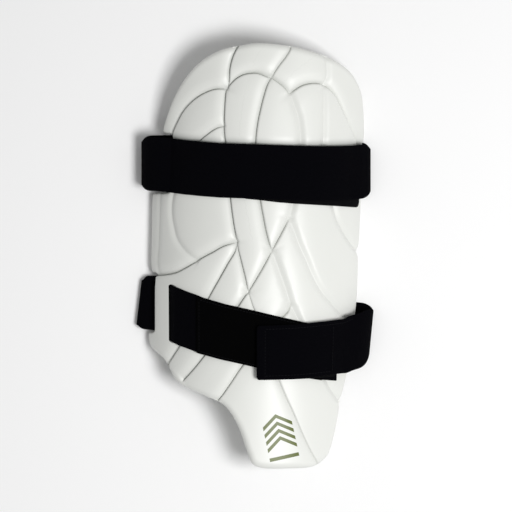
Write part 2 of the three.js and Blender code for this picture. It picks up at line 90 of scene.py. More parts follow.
# The pad's outline: u across and v along the pad, or v on one of the arch's feet
OUTLINE = [
    (0.482, 0.011), (0.525, 0.002), (0.654, 0.0), (0.774, 0.005), (0.829, 0.026), (0.857, 0.064),
    (0.878, 0.114), (0.894, 0.158), (0.921, 0.221), (0.942, 0.291),
    (RIGHT_FOOT, 0.385), (RIGHT_FOOT, 0.5), (RIGHT_FOOT, 0.6), (RIGHT_FOOT, 0.7), (RIGHT_FOOT, 0.8),
    (0.994, 0.867), (0.983, 0.895), (0.9425, 0.932), (0.873, 0.9585), (0.77, 0.979), (0.654, 0.993),
    (0.507, 1.0), (0.406, 0.993), (0.324, 0.983), (0.221, 0.951), (0.135, 0.895), (0.077, 0.825),
    (0.038, 0.737),
    (LEFT_FOOT, 0.65), (LEFT_FOOT, 0.55), (LEFT_FOOT, 0.45), (LEFT_FOOT, 0.35), (LEFT_FOOT, 0.3),
    (0.01, 0.281), (0.064, 0.2566), (0.09, 0.235), (0.133, 0.202), (0.256, 0.172), (0.349, 0.149),
    (0.416, 0.098), (0.456, 0.042),
]

# The photograph's frame, for the lines that are placed by its pixels
PHOTO_MIDDLE = 256
MM_PER_PIXEL = 0.94

# Where creases meet, in the photograph's pixels
BROW_LEFT = (226.5, 89)
BROW_MIDDLE = (271.3, 77.8)
BROW_DIP = (290.2, 93.8)
BROW_RIGHT = (324.6, 84.6)
TEMPLE = (223.4, 126.4)
STAR = (236.6, 242)
FORK = (197, 260.5)
LOWER_CROSS = (248.2, 292)
MIDDLE_CROSS = (272.1, 251)
UPPER_CROSS = (289.5, 219.4)
RIGHT_CROSS = (291.5, 305)

# The moulded creases between the panels. Each row has the crease's form, its share of the full depth,
# how dark the painted shade of its thin line is, and its line in the photograph's pixels. Seen along
# the line, a step has its long slope on the named side and a steep short wall on the other. A soft
# one is even.
CREASES = [
    ("left", 1.0, 0.8,
     [BROW_LEFT, (228.5, 80), (229.4, 68.4), (232.5, 56.8), (238, 45.6), (242, 37)]),
    ("right", 0.95, 0.7,
     [BROW_LEFT, (213.8, 89.4), (204.8, 92.5), (195.9, 97.4), (187, 105), (180.7, 113),
      (175.4, 123), (171.8, 131), (169, 139.4), (163, 165)]),
    ("soft", 0.3, 0.3,
     [(163, 165), (159.5, 191), (158.6, 216), (157.6, 245), (156.4, 262), (157, 275)]),
    ("left", 1.0, 0.8,
     [BROW_LEFT, (229.8, 84.5), (236, 78.7), (243, 75), (251.3, 73.5), (258, 73.7),
      (267, 77), BROW_MIDDLE]),
    ("left", 0.6, 0.5,
     [BROW_MIDDLE, (279.5, 65.7), (285.7, 57.7), (290.6, 49.6), (293, 40)]),
    ("left", 0.8, 0.55,
     [BROW_MIDDLE, (275.9, 81), (281.3, 85), (285.7, 89), BROW_DIP]),
    ("right", 0.85, 0.6,
     [BROW_MIDDLE, (267.4, 85.4), (263.4, 98), (260.3, 110.4), (258, 121), (256.4, 132),
      (255.5, 143.4), (256.5, 172), (260.9, 204), (263, 215.3), (266, 230.6),
      (269.6, 244), MIDDLE_CROSS]),
    ("left", 0.9, 0.6,
     [BROW_DIP, (294.6, 90.7), (301.8, 86.3), (308.9, 84), (316, 83.4), (321.4, 83.8),
      BROW_RIGHT]),
    ("soft", 0.7, 0.12,
     [BROW_RIGHT, (327.2, 80), (327.7, 70), (327.2, 63), (326.5, 57), (326, 48)]),
    ("left", 1.0, 0.2,
     [BROW_RIGHT, (330.4, 88.5), (335.7, 94.3), (340.2, 101.4), (345.5, 112),
      (350.9, 123), (355.4, 132.7), (360.3, 145), (363, 158)]),
    ("soft", 0.8, 0.12,
     [BROW_DIP, (291, 96), (295, 106.8), (298.2, 115.7), (300, 124.6), (301, 133.6),
      (301.6, 145), (299, 178), (293, 206), (291, 214.3), UPPER_CROSS]),
    ("soft", 0.75, 0.12,
     [BROW_RIGHT, (324.6, 92.5), (324.6, 110), (324.6, 128), (324.6, 145), (328, 178),
      (334.9, 208), (338, 218.4), (343, 228.6), (352, 242), (363, 255), (370, 262)]),
    ("right", 0.9, 0.6,
     [TEMPLE, (217.3, 127.8), (211, 131.3), (204.8, 135.8), (199.9, 139.4), (187, 155)]),
    ("soft", 0.5, 0.25,
     [(187, 155), (180, 165), (172.4, 194), (170.8, 203), (170.8, 215.5), (173, 228),
      (176.2, 239), (182, 248), (188.4, 254.4), FORK]),
    ("right", 0.95, 0.7,
     [BROW_LEFT, (225.4, 91.6), (224.5, 101.4), (223.8, 115), TEMPLE, (224, 135.4),
      (225.5, 150), (228, 176), (230.3, 201.7), (232.8, 220.7), (234.9, 233), STAR]),
    ("left", 1.0, 0.75,
     [(147, 276.6), (157, 275.5), (164, 274.8), (175.6, 272.3), (184.5, 267.8), FORK,
      (204.6, 256), (212.5, 252), (221.2, 247), (229.5, 244), STAR]),
    ("right", 1.0, 0.6,
     [STAR, (234.5, 251.4), (227.8, 263), (221.2, 274.6), (214.6, 286), (207.9, 297.8),
      (194, 321), (179.9, 344), (170, 359.4), (164, 369)]),
    ("right", 0.85, 0.55,
     [STAR, (237.8, 249), (241, 261.4), (244.4, 274.6), LOWER_CROSS]),
    ("right", 0.42, 0.12,
     [LOWER_CROSS, (251.9, 303.6), (254.4, 310.3), (266, 345), (278.5, 378.8),
      (285.2, 395), (293.2, 412), (303.9, 436.4), (312, 452.5), (320, 466)]),
    ("right", 1.0, 0.6,
     [LOWER_CROSS, (246, 294.5), (238.6, 305.3), (222, 330), (204.2, 354.7),
      (194, 367.5), (182.7, 380)]),
    ("left", 0.8, 0.35,
     [LOWER_CROSS, (258.4, 275.5), (265.5, 263.3), MIDDLE_CROSS]),
    ("left", 0.8, 0.35,
     [MIDDLE_CROSS, (277.8, 240.8), (283.9, 229.6), UPPER_CROSS]),
    ("soft", 0.8, 0.1,
     [UPPER_CROSS, (294, 229.6), (300.2, 246), (307.3, 261.2), (313.5, 275.5),
      (321.6, 290), (331.8, 302), (342, 313.3), (350, 321), (362, 330)]),
    ("soft", 0.85, 0.1,
     [MIDDLE_CROSS, (275.2, 258.2), (280.8, 273.5), (285.9, 287.8), RIGHT_CROSS,
      (295, 312), (299.2, 320.4), (313, 350), (326, 376.8), (332.7, 389.6),
      (341.4, 401.6), (350, 411)]),
    ("right", 0.85, 0.2,
     [RIGHT_CROSS, (289, 311), (284.9, 315.3), (264, 339), (242.3, 365.4), (230.3, 383),
      (219.6, 397.6), (211, 406)]),
]

# Form of the creases
CREASE_DEPTH = 3.8
CREASE_MOST = 0.97 # share of the greatest depth that one crease takes at most
LONG_SLOPE = 10.5
LONG_KNEE = 0.8 # how full a slope is near its crease
ROLL_SHARE = 0.55 # of the depth, for the edge that rolls into the crease
ROLL_RADIUS = 4.4
SHORT_WALL = 1.7
SOFT_SLOPE = 6.0
SOFT_KNEE = 1.4
SOFT_SHARE = 0.6 # of a step's depth
PILLOW_DEPTH = 1.2
PILLOW_WIDTH = 17
CREASE_TAIL = 2.5 # past the ends of a crease, where it fades out
CREASE_SETS = 5 # groups of creases that don't meet, so that each has a smooth field
SET_APART = 4.0 # least distance between the creases of a group
NO_CREASE = (50, 0, 0) # distance, weight and strength of painted line shade where no crease is near
PRESS_REACH = 8.5 # of the foam that the upper strap's top edge presses in, and of the painted shadow along it
PRESS_DEPTH = 2.0

# Rounded edges of the pad
RIM_RADIUS = 5.8
RIM_FADE = 1.2 # in from the outline to where creases have their full depth
RIM_SHARE = 0.35 # of their depth, at the outline itself
RIM_SINK = 3.0 # most of the rim's drop that a crease's depth is added to
NOTCH_RADIUS = 2.4
NOTCH_CORNER = 4.0 # in plan
INNER_CORNER = 0.7 # share of that for a notch's inner corners
CORNER_MOST = 0.45 # share of a notch's depth that a corner takes at most
NOTCH_RUN = 8 # along the outline from a notch, which gives its outer corners their direction

# Mesh density
ARC_STEPS = 2000
OUTLINE_SAMPLES = 12
OUTLINE_STEP = 0.8
CORNER_STEPS = 6
RIM_STEP = 1.3
CREASE_SAMPLES = 8
CREASE_STEP = 1.25
CREASE_ROWS = (0, 0.35, 0.8, 1.4, 2.2, 3.2, 4.4) # distances beside a crease
RIM_ROWS = (0.25, 0.8, 1.6, 2.6, 3.8, 5.2, 6.8) # distances in from the outline
RIM_CLEAR = 0.2 # no other place is nearer to the outline
GRID_CLEAR = 0.4 # share of the grid's step that stays free beside a crease's rows
FRONT_STEP = 2.1
BACK_STEP = 3.6
POINT_SPACING = 0.33 # places nearer than this are merged
WALL_ROWS = 3
CUT_REACH = 0.5 # from the channel's cut to the vertices whose values it takes

# Colours, and how much of the grey each painted shade takes: the lines in the creases, the edges
# that roll into them and the shadow along the upper strap's top edge
FOAM_DULL = (0.735, 0.745, 0.71, 1)
FOAM_WHITE = (0.775, 0.782, 0.75, 1)
# painted shade: the grey that the creases and the upper strap's pressed edge are darkened towards
CREASE_SHADE_GREY = (0.17, 0.19, 0.175, 1)
MARK_GREEN = (0.085, 0.11, 0.0, 1)
# painted shade of a crease's thin line, at its full strength
LINE_SHADE_TINT = 0.14
LINE_REACH = (0.25, 0.75) # distances from a crease between which its line of painted shade fades
# painted shade on the edges that roll into a crease
EDGE_SHADE_TINT = 0.28
EDGE_REACH = (0.5, 4.2)
SHORT_SIDE_FALL = 3 # times faster that the painted grey fades on a crease's short side
# painted shadow along the upper strap's pressed top edge
PRESS_SHADOW_TINT = 0.65

# The printed mark on the tongue: its middle in the photograph's pixels, and its turn in degrees
MARK_MIDDLE = (281, 441)
MARK_TURN = 12
MARK_WIDTH = 28
CHEVRON_PITCH = 7
CHEVRON_SLOPE = 0.7
CHEVRONS = 4
CHEVRON_HALF = 0.26 # share of the pitch that is inked on each side of a stripe's middle
MARK_BAR_DROP = 15
MARK_BAR_HEIGHT = 3.4


# Centre lines of the straps and tapes

def on_pad(straps, tapes, *places):
    """Rows of a band that lies on the pad, over so many straps and tapes, each by its u and v."""
    return [(u, v, "on", straps, tapes) for u, v in places]


def off_pad(*places):
    """Rows by u, v and the height as a share of the arch's."""
    return [(u, v, "high", height) for u, v, height in places]


def behind_bar(*places):
    """Rows by the share of the bar's width, v, and how deep the band lies behind the bar."""
    return [(u, v, "bar", deep) for u, v, deep in places]


UPPER_STRAP = [
    *on_pad(0, 0, (0.12, 0.7125), (0.18, 0.708), (0.26, 0.7035), (0.34, 0.7)),
    *on_pad(0, 1, (0.43, 0.698), (0.52, 0.6965), (0.61, 0.695), (0.7, 0.6938), (0.78, 0.6935),
        (0.86, 0.6945), (0.925, 0.6965)),
    *off_pad((0.985, 0.6995, 0.35), (1.0135, 0.702, 0.22), (1.0155, 0.7035, 0.1), (0.985, 0.7055, 0.02),
        (0.94, 0.7065, 0), (0.5, 0.7175, 0), (0.16, 0.7235, 0), (0.08, 0.723, 0.01),
        (0.02, 0.722, 0.075), (-0.012, 0.7205, 0.16), (-0.023, 0.719, 0.26), (-0.003, 0.7175, 0.4),
        (0.055, 0.716, 0.55)),
]
UPPER_HOOK_TAPE = [
    *on_pad(0, 0, (0.45, 0.697), (0.53, 0.693), (0.6, 0.6885), (0.67, 0.6855), (0.78, 0.6825),
        (0.87, 0.6803), (0.93, 0.6785), (0.965, 0.678)),
]
LOWER_STRAP = [
    *on_pad(0, 0, (0.86, 0.27), (0.79, 0.2735), (0.7, 0.281), (0.585, 0.2945), (0.47, 0.309),
        (0.355, 0.3225), (0.26, 0.336), (0.17, 0.353), (0.132, 0.361)),
    *behind_bar((1.12, 0.366, 0.3), (0.85, 0.3685, 0.85), (0.55, 0.3755, 1), (0.22, 0.384, 1)),
    *off_pad((0.022, 0.3885, 0.175), (-0.012, 0.3895, 0.15), (-0.034, 0.3895, 0.105),
        (-0.033, 0.3895, 0.055), (-0.012, 0.3895, 0.018), (0.02, 0.3895, 0), (0.06, 0.388, 0),
        (0.5, 0.357, 0), (0.94, 0.327, 0), (0.99, 0.3245, 0.015), (1.015, 0.3225, 0.07),
        (1.021, 0.3175, 0.18), (1.008, 0.3095, 0.3), (0.976, 0.3015, 0.42), (0.933, 0.2945, 0.525)),
    *on_pad(1, 2, (0.87, 0.2885), (0.81, 0.2845), (0.74, 0.2805), (0.66, 0.277), (0.57, 0.275),
        (0.4985, 0.2742)),
]
LOWER_LOOP_TAPE = [
    *on_pad(1, 0, (0.235, 0.339), (0.26, 0.335), (0.355, 0.3215), (0.47, 0.308), (0.585, 0.2935),
        (0.7, 0.28), (0.79, 0.2725)),
]
LOWER_HOOK_TAPE = [
    *on_pad(1, 1, (0.53, 0.2735), (0.66, 0.275), (0.75, 0.277), (0.81, 0.279), (0.85, 0.281)),
]
UPPER_EXIT_V = 0.719
LOWER_EXIT_ROW = 14
CHANNEL_ROW = 8 # of the lower strap, where its channel through the foam starts
NOTCHES = ((UPPER_EXIT_V, UPPER_NOTCH_DEPTH), (LOWER_STRAP[LOWER_EXIT_ROW][1], LOWER_NOTCH_DEPTH))

# Form and mesh of the bands
STRAP_SAMPLES = 4
BAND_SAMPLES = 6
TWIST_PASSES = 4
BAND_STEP = 0.95
TAPE_STEP = 0.85
ACROSS_STEPS = 22
ROUND_STEPS = 3 # over a quarter of a band's round edge
TURN_CORNER = 7 # radius of a strap's corners where it turns
TURN_SMOOTH = 9 # sections
HEM_WIDTH = 7
HEM_FALL = (HEM_WIDTH - 0.9, HEM_WIDTH + 0.4) # where the hem's fold ends
HEM_RISE = 0.7
HEM_CORNER = 2.6
TAPE_CORNER = 4.5
TOOTH_PITCH = 1.7
TOOTH_DEPTH = 0.35
STITCH_PITCH = 3.0
STITCH_START = 0.4
STITCH_LENGTH = 2.3
STITCH_RADIUS = 0.3
STITCH_SIDES = 6
STITCH_RINGS = ((0.1, 0.75), (0.35, 1.0), (0.65, 1.0), (0.9, 0.75)) # shares of its length and radius

# Seams, each between two places: the length back from the band's end and the distance across it
HEM_SEAM = HEM_WIDTH + 0.9
HEM_SEAM_HALF = HALF_STRAP - 1.6
TAB_SIDE = HALF_STRAP - 3.6
TAB_BACK = 76
TAB_TOP_BACK = 101
TAB_SEAMS = [
    ((HEM_SEAM, -HEM_SEAM_HALF), (HEM_SEAM, HEM_SEAM_HALF)),
    ((HEM_SEAM, TAB_SIDE), (TAB_TOP_BACK, TAB_SIDE)),
    ((HEM_SEAM, -TAB_SIDE), (TAB_BACK, -TAB_SIDE)),
    ((TAB_BACK, -TAB_SIDE), (TAB_BACK, TAB_SIDE)),
]
LOOP_SIDE = HALF_STRAP - 2.2
LOOP_FRONT = 2
LOOP_BACK = 123
LOOP_SEAMS = [
    ((LOOP_FRONT, LOOP_SIDE), (LOOP_BACK - 1, LOOP_SIDE)),
    ((LOOP_FRONT, -LOOP_SIDE), (LOOP_BACK - 1, -LOOP_SIDE)),
    ((LOOP_BACK, -LOOP_SIDE), (LOOP_BACK, LOOP_SIDE)),
]

# How much the lower strap's width leans to the right, by row, where it leaves the slot's notch and
# where it turns at the right, with its lower edge nearer to the narrowing pad
LOWER_LEANS = {12: 0.05, 13: 0.1, 14: 0.12, 15: 0.12, 16: 0.1,
               22: 0.04, 23: 0.08, 24: 0.11, 25: 0.11, 26: 0.08}

# Floor, light and camera, in metres
FLOOR_HALF = 3.0
FLOOR_GREY = (0.93, 0.93, 0.93, 1)
WORLD_STRENGTH = 0.36
KEY_PLACE = (0.82, -0.36, 1.96)
KEY_SIZE = 0.7
KEY_POWER = 34
CAMERA_DISTANCE = 4.0
CAMERA_CROWN = 0.6 # share of the part's height that the distance is measured from
SENSOR_WIDTH = 36
VIEW_WIDTH = 512 * MM_PER_PIXEL * MM
CLIP_END = 100


# The front face, an arch between two feet

edge_radius = EDGE_THICKNESS / 2
arch_drop = math.sqrt(1 - ARCH_REACH**2)
foot_slope = math.atan(2 * ARCH_HEIGHT * ARCH_REACH**2 / ((1 - arch_drop) * arch_drop * PAD_WIDTH))
foot_height = STRAP_THICKNESS + 2 * GAP + edge_radius * (1 + math.cos(foot_slope) - math.sin(foot_slope))


def foot_at(foot, v):
    """Where a foot of the arch lies across the pad."""
    return (foot["u"] + foot["lean"] * (v - foot["v"])) * PAD_WIDTH


def feet(y):
    return foot_at(LEFT_FOOT, y / PAD_LENGTH), foot_at(RIGHT_FOOT, y / PAD_LENGTH)


def across_share(x, y):
    """How far out on the arch a place is, from -ARCH_REACH at the left foot to ARCH_REACH."""
    left, right = feet(y)
    return (2 * x - left - right) / (right - left) * ARCH_REACH


def front_height(x, y):
    rise = (np.sqrt(np.maximum(1 - across_share(x, y) ** 2, 0.001)) - arch_drop) / (1 - arch_drop)
    return foot_height + ARCH_HEIGHT * (1 - CROWN_BOW * (2 * y / PAD_LENGTH - 1) ** 2) * rise


def unit(vectors):
    return vectors / np.maximum(np.linalg.norm(vectors, axis=-1, keepdims=True), 1e-12)


def front_normal(x, y):
    step = 0.5
    slope_x = (front_height(x + step, y) - front_height(x - step, y)) / (2 * step)
    slope_y = (front_height(x, y + step) - front_height(x, y - step)) / (2 * step)
    return unit(np.stack([-slope_x, -slope_y, np.ones_like(slope_x)], -1))


def on_front(x, y, lift=0.0):
    """Places on the front face, or lifted off it along its normal."""
    x, y = np.asarray(x, float), np.asarray(y, float)
    point = np.stack([x, y, front_height(x, y)], -1)
    return point + front_normal(x, y) * np.asarray(lift, float)[..., None]


# The face unrolled: q runs along the arch, so that distances in q and y are those on the face

arc_angle = np.linspace(-math.pi / 2, math.pi / 2, ARC_STEPS)
arc_x = np.sin(arc_angle) / ARCH_REACH * PAD_WIDTH / 2
arc_z = np.cos(arc_angle) * ARCH_HEIGHT / (1 - arch_drop)
arc_q = np.concatenate([[0], np.cumsum(np.hypot(np.diff(arc_x), np.diff(arc_z)))])
arc_q -= arc_q[-1] / 2


def unroll(points):
    """Plan points on the unrolled face."""
    share = across_share(points[:, 0], points[:, 1])
    return np.stack([np.interp(share, np.sin(arc_angle), arc_q), points[:, 1]], -1)


def roll(points):
    """Points of the unrolled face back in plan."""
    share = np.interp(points[:, 0], arc_q, np.sin(arc_angle))
    left, right = feet(points[:, 1])
    x = (share / ARCH_REACH * (right - left) + left + right) / 2
    return np.stack([x, points[:, 1]], -1)


# Lines

def spline(points, samples, closed=False):
    """A centripetal Catmull-Rom curve through points, with that many samples for each span."""
    points = np.asarray(points, float)
    if closed:
        around = np.vstack([points[-1:], points, points[:2]])
    else:
        around = np.vstack([2 * points[0] - points[1], points, 2 * points[-1] - points[-2]])
    made = []
    for p0, p1, p2, p3 in zip(around, around[1:], around[2:], around[3:]):
        a, b, c = (max(np.dot(step, step), 1e-12) ** 0.25 for step in (p1 - p0, p2 - p1, p3 - p2))
        start = ((p1 - p0) / a - (p2 - p0) / (a + b) + (p2 - p1) / b) * b
        end = ((p2 - p1) / b - (p3 - p1) / (b + c) + (p3 - p2) / c) * b
        for k in range(samples):
            t = k / samples
            made.append(p1 + start * t + (3 * (p2 - p1) - 2 * start - end) * t**2
                        + (2 * (p1 - p2) + start + end) * t**3)
    if not closed:
        made.append(points[-1])
    return np.array(made)


def resampled(values, step, closed):
    """Rows of values again in even steps of about that length over their first three columns, with
    the length to each row and the whole length."""
    ring = np.vstack([values, values[:1]]) if closed else values
    along = np.concatenate([[0], np.cumsum(np.linalg.norm(np.diff(ring[:, :3], axis=0), axis=1))])
    count = max(2, int(round(along[-1] / step)))
    stops = np.linspace(0, along[-1], count + 1)
    if closed:
        stops = stops[:-1]
    rows = np.stack([np.interp(stops, along, ring[:, k]) for k in range(ring.shape[1])], -1)
    return rows, stops, along[-1]


def evenly(points, step, closed=False):
    return resampled(points, step, closed)[0]


def from_photo(pixels):
    """Plan points of the pad under pixels of the photograph, which looks straight down."""
    pixels = np.asarray(pixels, float)
    x = (pixels[:, 0] - PHOTO_MIDDLE) * MM_PER_PIXEL - shift[0]
    y = (PHOTO_MIDDLE - pixels[:, 1]) * MM_PER_PIXEL - shift[1]
    return np.stack([x, y], -1)


def line_field(places, line, weight=None):
    """For each place its distance to the line, positive on the line's left, and the line's weight
    at the nearest point."""
    signed = np.full(len(places), np.inf)
    share = np.zeros(len(places))
    weight = np.ones(len(line)) if weight is None else weight
    for i in range(len(line) - 1):
        start, run = line[i], line[i + 1] - line[i]
        length = np.dot(run, run)
        if length < 1e-9:
            continue
        t = np.clip(((places - start) @ run) / length, 0, 1)
        away = places - start - t[:, None] * run
        distance = np.hypot(*away.T)
        nearer = distance < np.abs(signed)
        side = np.sign(run[0] * away[:, 1] - run[1] * away[:, 0])
        signed[nearer] = (distance * np.where(side == 0, 1, side))[nearer]
        share[nearer] = (weight[i] + t * (weight[i + 1] - weight[i]))[nearer]
    return signed, share


def smooth(low, high, value):
    """A smooth rise from 0 at low to 1 at high."""
    t = np.clip((value - low) / (high - low), 0, 1)
    return t * t * (3 - 2 * t)


def edge_drop(distance, radius):
    """How far an edge of that radius has fallen away, by the distance in from it."""
    inside = np.clip(radius - distance, 0, radius)
    return radius - np.sqrt(radius**2 - inside**2)


# The outline, with the notches that the straps leave through

outline = np.array([(foot_at(u, v) if isinstance(u, dict) else u * PAD_WIDTH, v * PAD_LENGTH)
                    for u, v in OUTLINE])
outline = spline(outline, OUTLINE_SAMPLES, closed=True)
rim_space = on_front(outline[:, 0], outline[:, 1], np.full(len(outline), -edge_radius))
pad_low, pad_high = (np.array(corner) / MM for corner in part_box("pad"))
shift = (pad_low + pad_high) / 2 - (rim_space.min(0) + rim_space.max(0)) / 2
shift[2] = 0


def rounded(corner, before, after, radius):
    """Points of an arc that rounds a corner between its two neighbours."""
    back, forth = unit(before - corner), unit(after - corner)
    half = math.acos(np.clip(np.dot(back, forth), -1, 1)) / 2
    reach = radius / math.tan(half)
    middle = corner + unit(back + forth) * radius / math.sin(half)
    start, end = corner + back * reach - middle, corner + forth * reach - middle
    turn = math.acos(np.clip(np.dot(unit(start), unit(end)), -1, 1))
    shares = np.linspace(0, 1, CORNER_STEPS + 1)[:, None]
    return middle + (np.sin((1 - shares) * turn) * start + np.sin(shares * turn) * end) / math.sin(turn)


def left_side(y):
    """The point of the outline's left side, clear of the tongue, at that height."""
    side = outline[(outline[:, 0] < PAD_WIDTH / 3) & (outline[:, 1] > 0.2 * PAD_LENGTH)]
    side = side[np.argsort(side[:, 1])]
    return np.array([np.interp(y, side[:, 1], side[:, 0]), y])


def notch_path(v, depth):
    """A notch's three sides from top to bottom, in plan, with its corners rounded."""
    y = v * PAD_LENGTH
    half = HALF_STRAP + 2 * SIDE_GAP
    wall = foot_at(LEFT_FOOT, v) + depth
    top_out, bottom_out = left_side(y + half), left_side(y - half)
    top_in, bottom_in = np.array([wall, y + half]), np.array([wall, y - half])
    above, below = left_side(y + half + NOTCH_RUN), left_side(y - half - NOTCH_RUN)
    most = (wall - max(top_out[0], bottom_out[0])) * CORNER_MOST
    outer = min(NOTCH_CORNER, most)
    inner = min(NOTCH_CORNER * INNER_CORNER, most)
    return np.vstack([
        rounded(top_out, above, top_in, outer),
        rounded(top_in, top_out, bottom_in, inner),
        rounded(bottom_in, top_in, bottom_out, inner),
        rounded(bottom_out, bottom_in, below, outer),
    ])


def with_notches(line):
    """The outline, counter-clockwise, with both notches let into its left side."""
    for v, depth in NOTCHES:
        path = notch_path(v, depth)
        y_top, y_bottom = path[0, 1], path[-1, 1]
        inside = (line[:, 0] < PAD_WIDTH / 2) & (line[:, 1] < y_top) & (line[:, 1] > y_bottom)
        first = np.argmax(inside)
        last = len(line) - 1 - np.argmax(inside[::-1])
        line = np.vstack([line[:first], path, line[last + 1:]])
    return line


notched = with_notches(outline)
rim_line = unroll(outline)
rim_line = np.vstack([rim_line, rim_line[:1]])
loop = evenly(unroll(evenly(notched, OUTLINE_STEP, closed=True)), RIM_STEP, closed=True)
notch_lines = [unroll(evenly(notch_path(v, depth), OUTLINE_STEP)) for v, depth in NOTCHES]


# Creases

def crease_line(pixels):
    """A crease on the unrolled face, with a tail at both ends over which its weight fades."""
    line = evenly(unroll(spline(from_photo(pixels), CREASE_SAMPLES)), CREASE_STEP)
    head = line[0] - unit(line[2] - line[0]) * CREASE_TAIL
    tail = line[-1] + unit(line[-1] - line[-3]) * CREASE_TAIL
    return np.vstack([head, line, tail]), np.concatenate([[0], np.ones(len(line)), [0]])


crease_lines = [crease_line(pixels) for _, _, _, pixels in CREASES]


def step_form(t, knee):
    """Depth over a slope: 1 at the crease, steepest a little way out, 0 at its end."""
    t = np.clip(t, 0, 1)
    return (1 - t) ** 2 * (1 + knee * t)


def crease_depth(signed, weight, form, deep):
    """How far the face lies under its outer form, by the distance to one crease."""
    far = np.abs(signed)
    pillow = PILLOW_DEPTH * (1 - np.clip(far / PILLOW_WIDTH, 0, 1)) ** 2
    if form == "soft":
        slope = SOFT_SHARE * step_form(far / SOFT_SLOPE, SOFT_KNEE)
    else:
        on_slope = signed if form == "left" else -signed
        rolled = edge_drop(on_slope / ROLL_RADIUS, 1)
        long_side = (1 - ROLL_SHARE) * step_form(on_slope / LONG_SLOPE, LONG_KNEE) + ROLL_SHARE * rolled
        slope = np.where(on_slope >= 0, long_side, edge_drop(-on_slope / SHORT_WALL, 1))
    return weight * deep * (pillow + CREASE_DEPTH * slope)


def relief(places):
    """Depth of all creases together, and for each set the nearest crease's distance (positive on its
    long slope), weight and the strength of its line of painted shade."""
    deepest = CREASE_DEPTH + PILLOW_DEPTH
    remaining = np.ones(len(places))
    fields = np.tile(np.array(NO_CREASE, float), (CREASE_SETS, len(places), 1))
    for (form, deep, line_shade, _), (line, weight), group in zip(CREASES, crease_lines, crease_set):
        signed, share = line_field(places, line, weight)
        remaining *= 1 - np.clip(crease_depth(signed, share, form, deep) / deepest, 0, CREASE_MOST)
        field = fields[group]
        nearer = np.abs(signed) < np.abs(field[:, 0])
        slope_side = -signed if form == "right" else signed
        field[nearer, 0] = slope_side[nearer]
        field[nearer, 1] = smooth(0.5, 1, share[nearer])
        field[nearer, 2] = line_shade
    return deepest * (1 - remaining), fields


def share_out(lines):
    """A set for each crease, so that two creases of a set stay well apart."""
    sets = []
    for i, (line, _) in enumerate(lines):
        taken = set()
        for j in range(i):
            gaps = np.abs(line_field(line, lines[j][0])[0])
            if gaps.min() < SET_APART:
                taken.add(sets[j])
        free = [k for k in range(CREASE_SETS) if k not in taken]
        sets.append(free[0] if free else i % CREASE_SETS)
    return sets


crease_set = share_out(crease_lines)


# The pad's mesh

def beside(line, run, offset):
    """Points beside a line, at that distance on the left of its direction."""
    return line + np.stack([-run[:, 1], run[:, 0]], -1) * offset


def thin_out(points, spacing):
    """The points without those that share a cell with an earlier one."""
    cells = np.round(points / spacing).astype(int)
    _, first = np.unique(cells, axis=0, return_index=True)
    return points[np.sort(first)]


def inside_loop(points, ring):
    """Whether each point lies inside a closed ring, by its crossings."""
    inside = np.zeros(len(points), bool)
    for (x0, y0), (x1, y1) in zip(ring, np.roll(ring, -1, axis=0)):
        if y0 == y1:
            continue
        crosses = ((y0 > points[:, 1]) != (y1 > points[:, 1])) & (
            points[:, 0] < (x1 - x0) * (points[:, 1] - y0) / (y1 - y0) + x0)
        inside ^= crosses
    return inside


def hexagons(step):
    """Places in a grid of even triangles over the whole face."""
    low, high = loop.min(0), loop.max(0)
    rows = np.arange(low[1], high[1], step * math.sqrt(3) / 2)
    grid = []
    for number, y in enumerate(rows):
        x = np.arange(low[0] + (number % 2) * step / 2, high[0], step)
        grid.append(np.stack([x, np.full(len(x), y)], -1))
    return np.vstack(grid)


def triangulate(step, with_creases):
    """Places on the unrolled face and their triangles. The first places are the loop's."""
    wanted = []
    bare_lines = [line[1:-1] for line, _ in crease_lines]
    if with_creases:
        offsets = [side * row for row in CREASE_ROWS for side in ((1, -1) if row else (1,))]
        for offset in offsets:
            wanted += [beside(line, unit(np.gradient(line, axis=0)), offset) for line in bare_lines]
    run = unit(np.roll(loop, -1, axis=0) - np.roll(loop, 1, axis=0))
    wanted += [beside(loop, run, row) for row in RIM_ROWS]
    lines = np.vstack(wanted)
    grid = hexagons(step)
    if with_creases:
        near = np.full(len(grid), np.inf)
        for line in bare_lines:
            near = np.minimum(near, np.abs(line_field(grid, line)[0]))
        grid = grid[near > CREASE_ROWS[-1] + step * GRID_CLEAR]
    points = np.vstack([lines, grid])
    to_rim = np.abs(line_field(points, np.vstack([loop, loop[:1]]))[0])
    points = points[(to_rim > RIM_CLEAR) & inside_loop(points, loop)]
    points = thin_out(points, POINT_SPACING)
    places = np.vstack([loop, points])
    count = len(loop)
    edges = [(i, (i + 1) % count) for i in range(count)]
    made = delaunay_2d_cdt([Vector(place) for place in places], edges, [], 1, 1e-6)
    found = np.array([tuple(place) for place in made[0]])
    order = np.full(count, -1)
    for index, sources in enumerate(made[3]):
        for source in sources:
            if source < count:
                order[source] = index
    return found, [tuple(face) for face in made[2]], order


def thickness_at(to_rim):
    """The foam's thickness, by the distance in from the outline."""
    return EDGE_THICKNESS + (FOAM_THICKNESS - EDGE_THICKNESS) * smooth(0, EDGE_BLEND, to_rim)


def drops(places):
    """For each place its distance to the outline, and how far the rounded edges lower it."""
    to_rim = np.abs(line_field(places, rim_line)[0])
    drop = edge_drop(to_rim, RIM_RADIUS)
    for line in notch_lines:
        drop = np.maximum(drop, edge_drop(np.abs(line_field(places, line)[0]), NOTCH_RADIUS))
    return to_rim, drop


